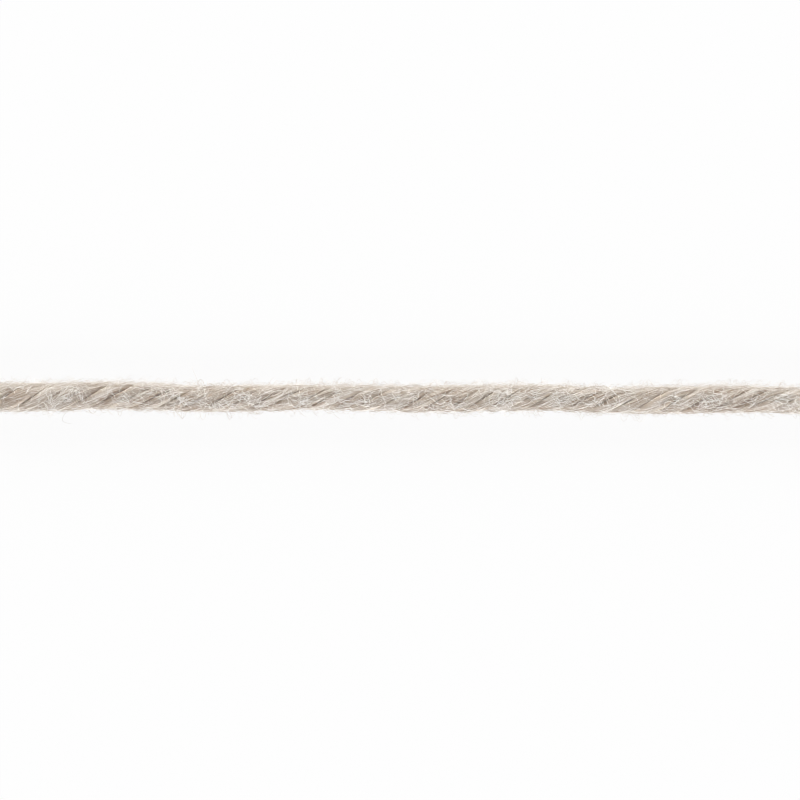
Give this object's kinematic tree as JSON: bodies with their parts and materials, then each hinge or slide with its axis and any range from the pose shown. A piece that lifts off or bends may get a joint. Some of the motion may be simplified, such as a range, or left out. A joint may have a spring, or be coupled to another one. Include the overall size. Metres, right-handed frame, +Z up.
{
  "type": "cotton yarn",
  "caption": "Cut length of soft plied yarn with an S twist and a light fuzz, lying straight on a surface; for knitting, crochet, trims and textile displays.",
  "frame": {"origin": "on the surface that the yarn lies on, under the middle of its box", "axes": "+X along the yarn, +Z up from the surface, +Y across the yarn"},
  "size_m": [0.09, 0.0028, 0.0025],
  "materials": {
    "yarn": "matt, softly fuzzy fibre in a warm greige"
  },
  "bodies": {
    "root": {"ply_1": "yarn", "ply_2": "yarn", "ply_3": "yarn", "ply_4": "yarn", "ply_5": "yarn"}
  },
  "joints": []
}
